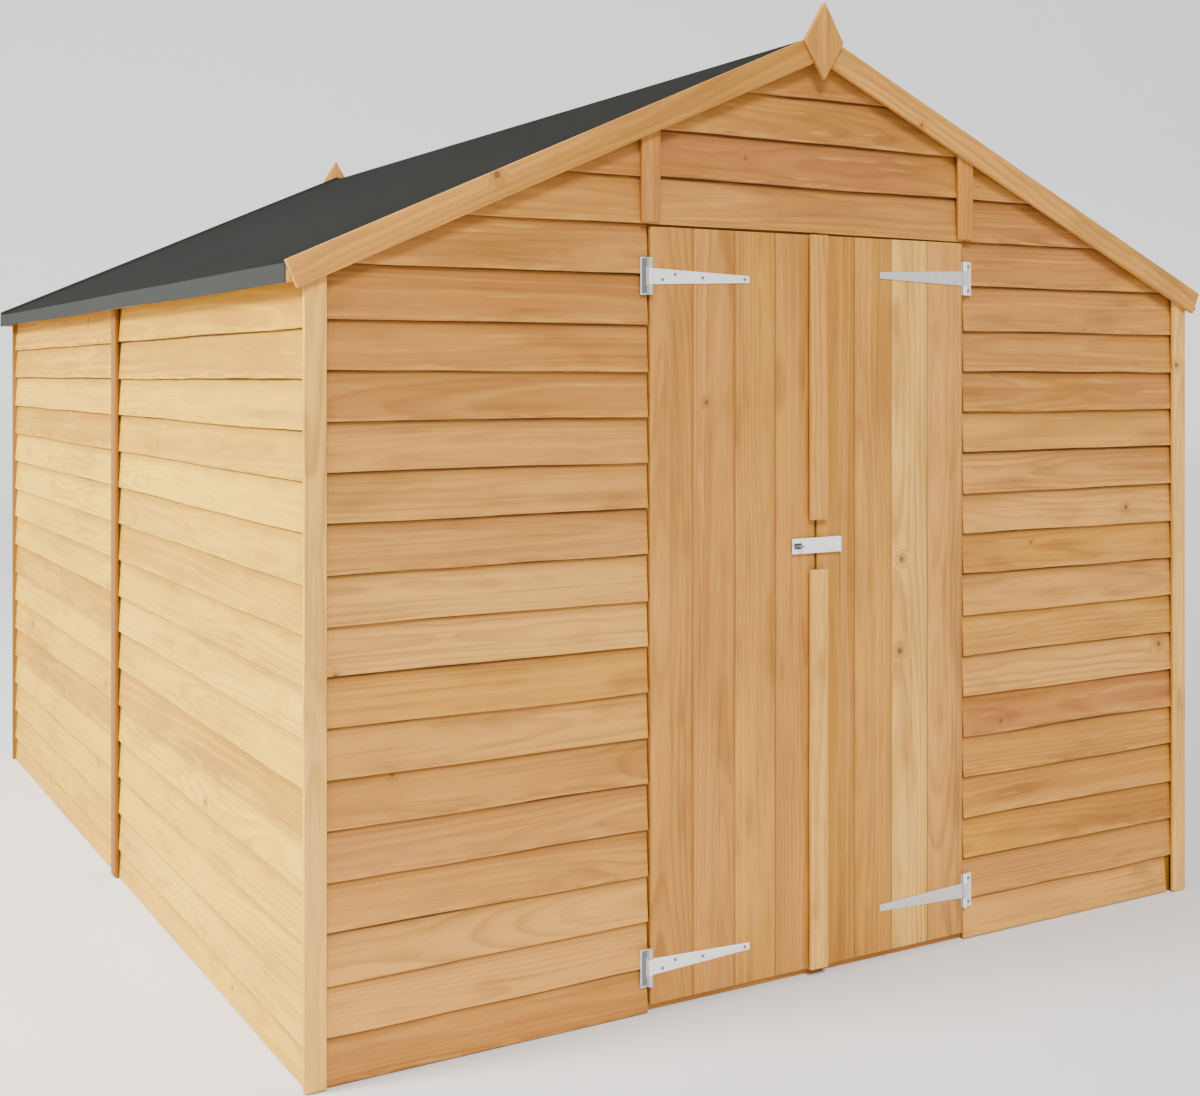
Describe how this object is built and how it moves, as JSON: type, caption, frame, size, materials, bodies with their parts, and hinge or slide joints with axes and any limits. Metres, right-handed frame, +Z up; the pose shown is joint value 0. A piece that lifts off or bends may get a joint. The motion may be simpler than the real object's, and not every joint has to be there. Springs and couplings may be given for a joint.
{
  "type": "wooden garden shed",
  "caption": "Wooden garden shed with overlap boarded walls, an apex felt roof with bargeboards and finials, and boarded double doors on tee hinges.",
  "frame": {"origin": "on the ground at the middle of the plan", "axes": "+Z up, the doors face -Y, +X is to the right seen from the front"},
  "size_m": [2.479, 3.068, 2.1746],
  "materials": {
    "cladding": "dip treated sawn softwood",
    "trim": "planed softwood",
    "door_boarding": "planed softwood boards",
    "framing": "sawn softwood",
    "strand_board": "pressed strand board",
    "roofing_felt": "mineral surfaced bitumen felt",
    "zinc_steel": "bright zinc plated"
  },
  "bodies": {
    "shed": {"left_wall_cladding": "cladding", "right_wall_cladding": "cladding", "back_wall_cladding": "cladding", "front_left_cladding": "cladding", "front_right_cladding": "cladding", "front_gable_cladding": "cladding", "front_corner_trims": "trim", "back_corner_trims": "trim", "front_gable_trims": "trim", "left_wall_cover_strip": "trim", "right_wall_cover_strip": "trim", "back_wall_cover_strip": "trim", "front_left_bargeboard": "trim", "front_right_bargeboard": "trim", "back_left_bargeboard": "trim", "back_right_bargeboard": "trim", "finials": "trim", "left_wall_studs": "framing", "left_wall_rails": "framing", "right_wall_studs": "framing", "right_wall_rails": "framing", "back_wall_studs": "framing", "back_wall_rails": "framing", "front_wall_studs": "framing", "front_wall_rails": "framing", "eaves_rails": "framing", "roof_purlins": "framing", "ridge_board": "framing", "floor_bearers": "framing", "floor_deck": "strand_board", "roof_deck_left": "strand_board", "roof_deck_right": "strand_board", "roof_felt_left": "roofing_felt", "roof_felt_right": "roofing_felt", "hinge_plates": "zinc_steel"},
    "right_door": {"right_door_boards": "door_boarding", "right_door_ledges": "framing", "right_door_braces": "framing", "meeting_strips": "trim", "right_hinge_straps": "zinc_steel", "hasp_plate": "zinc_steel"},
    "left_door": {"left_door_boards": "door_boarding", "left_door_ledges": "framing", "left_door_braces": "framing", "left_hinge_straps": "zinc_steel", "hasp_staple": "zinc_steel"},
    "hasp": {"hasp_strap": "zinc_steel"}
  },
  "joints": [
    {"name": "right_door_swing", "type": "hinge", "parent": "shed", "child": "right_door", "pos_m": [0.439, -1.5053, 0.8], "axis": [0, 0, 1], "range_deg": [0, 160]},
    {"name": "left_door_swing", "type": "hinge", "parent": "shed", "child": "left_door", "pos_m": [-0.439, -1.5053, 0.8], "axis": [0, 0, -1], "range_deg": [0, 120]},
    {"name": "hasp_swing", "type": "hinge", "parent": "right_door", "child": "hasp", "pos_m": [0.063, -1.505, 0.964], "axis": [0, 0, 1], "range_deg": [0, 165]}
  ],
  "couplings": [
    {"joint": "left_door_swing", "follows": "right_door_swing", "ratio": 0.75}
  ]
}
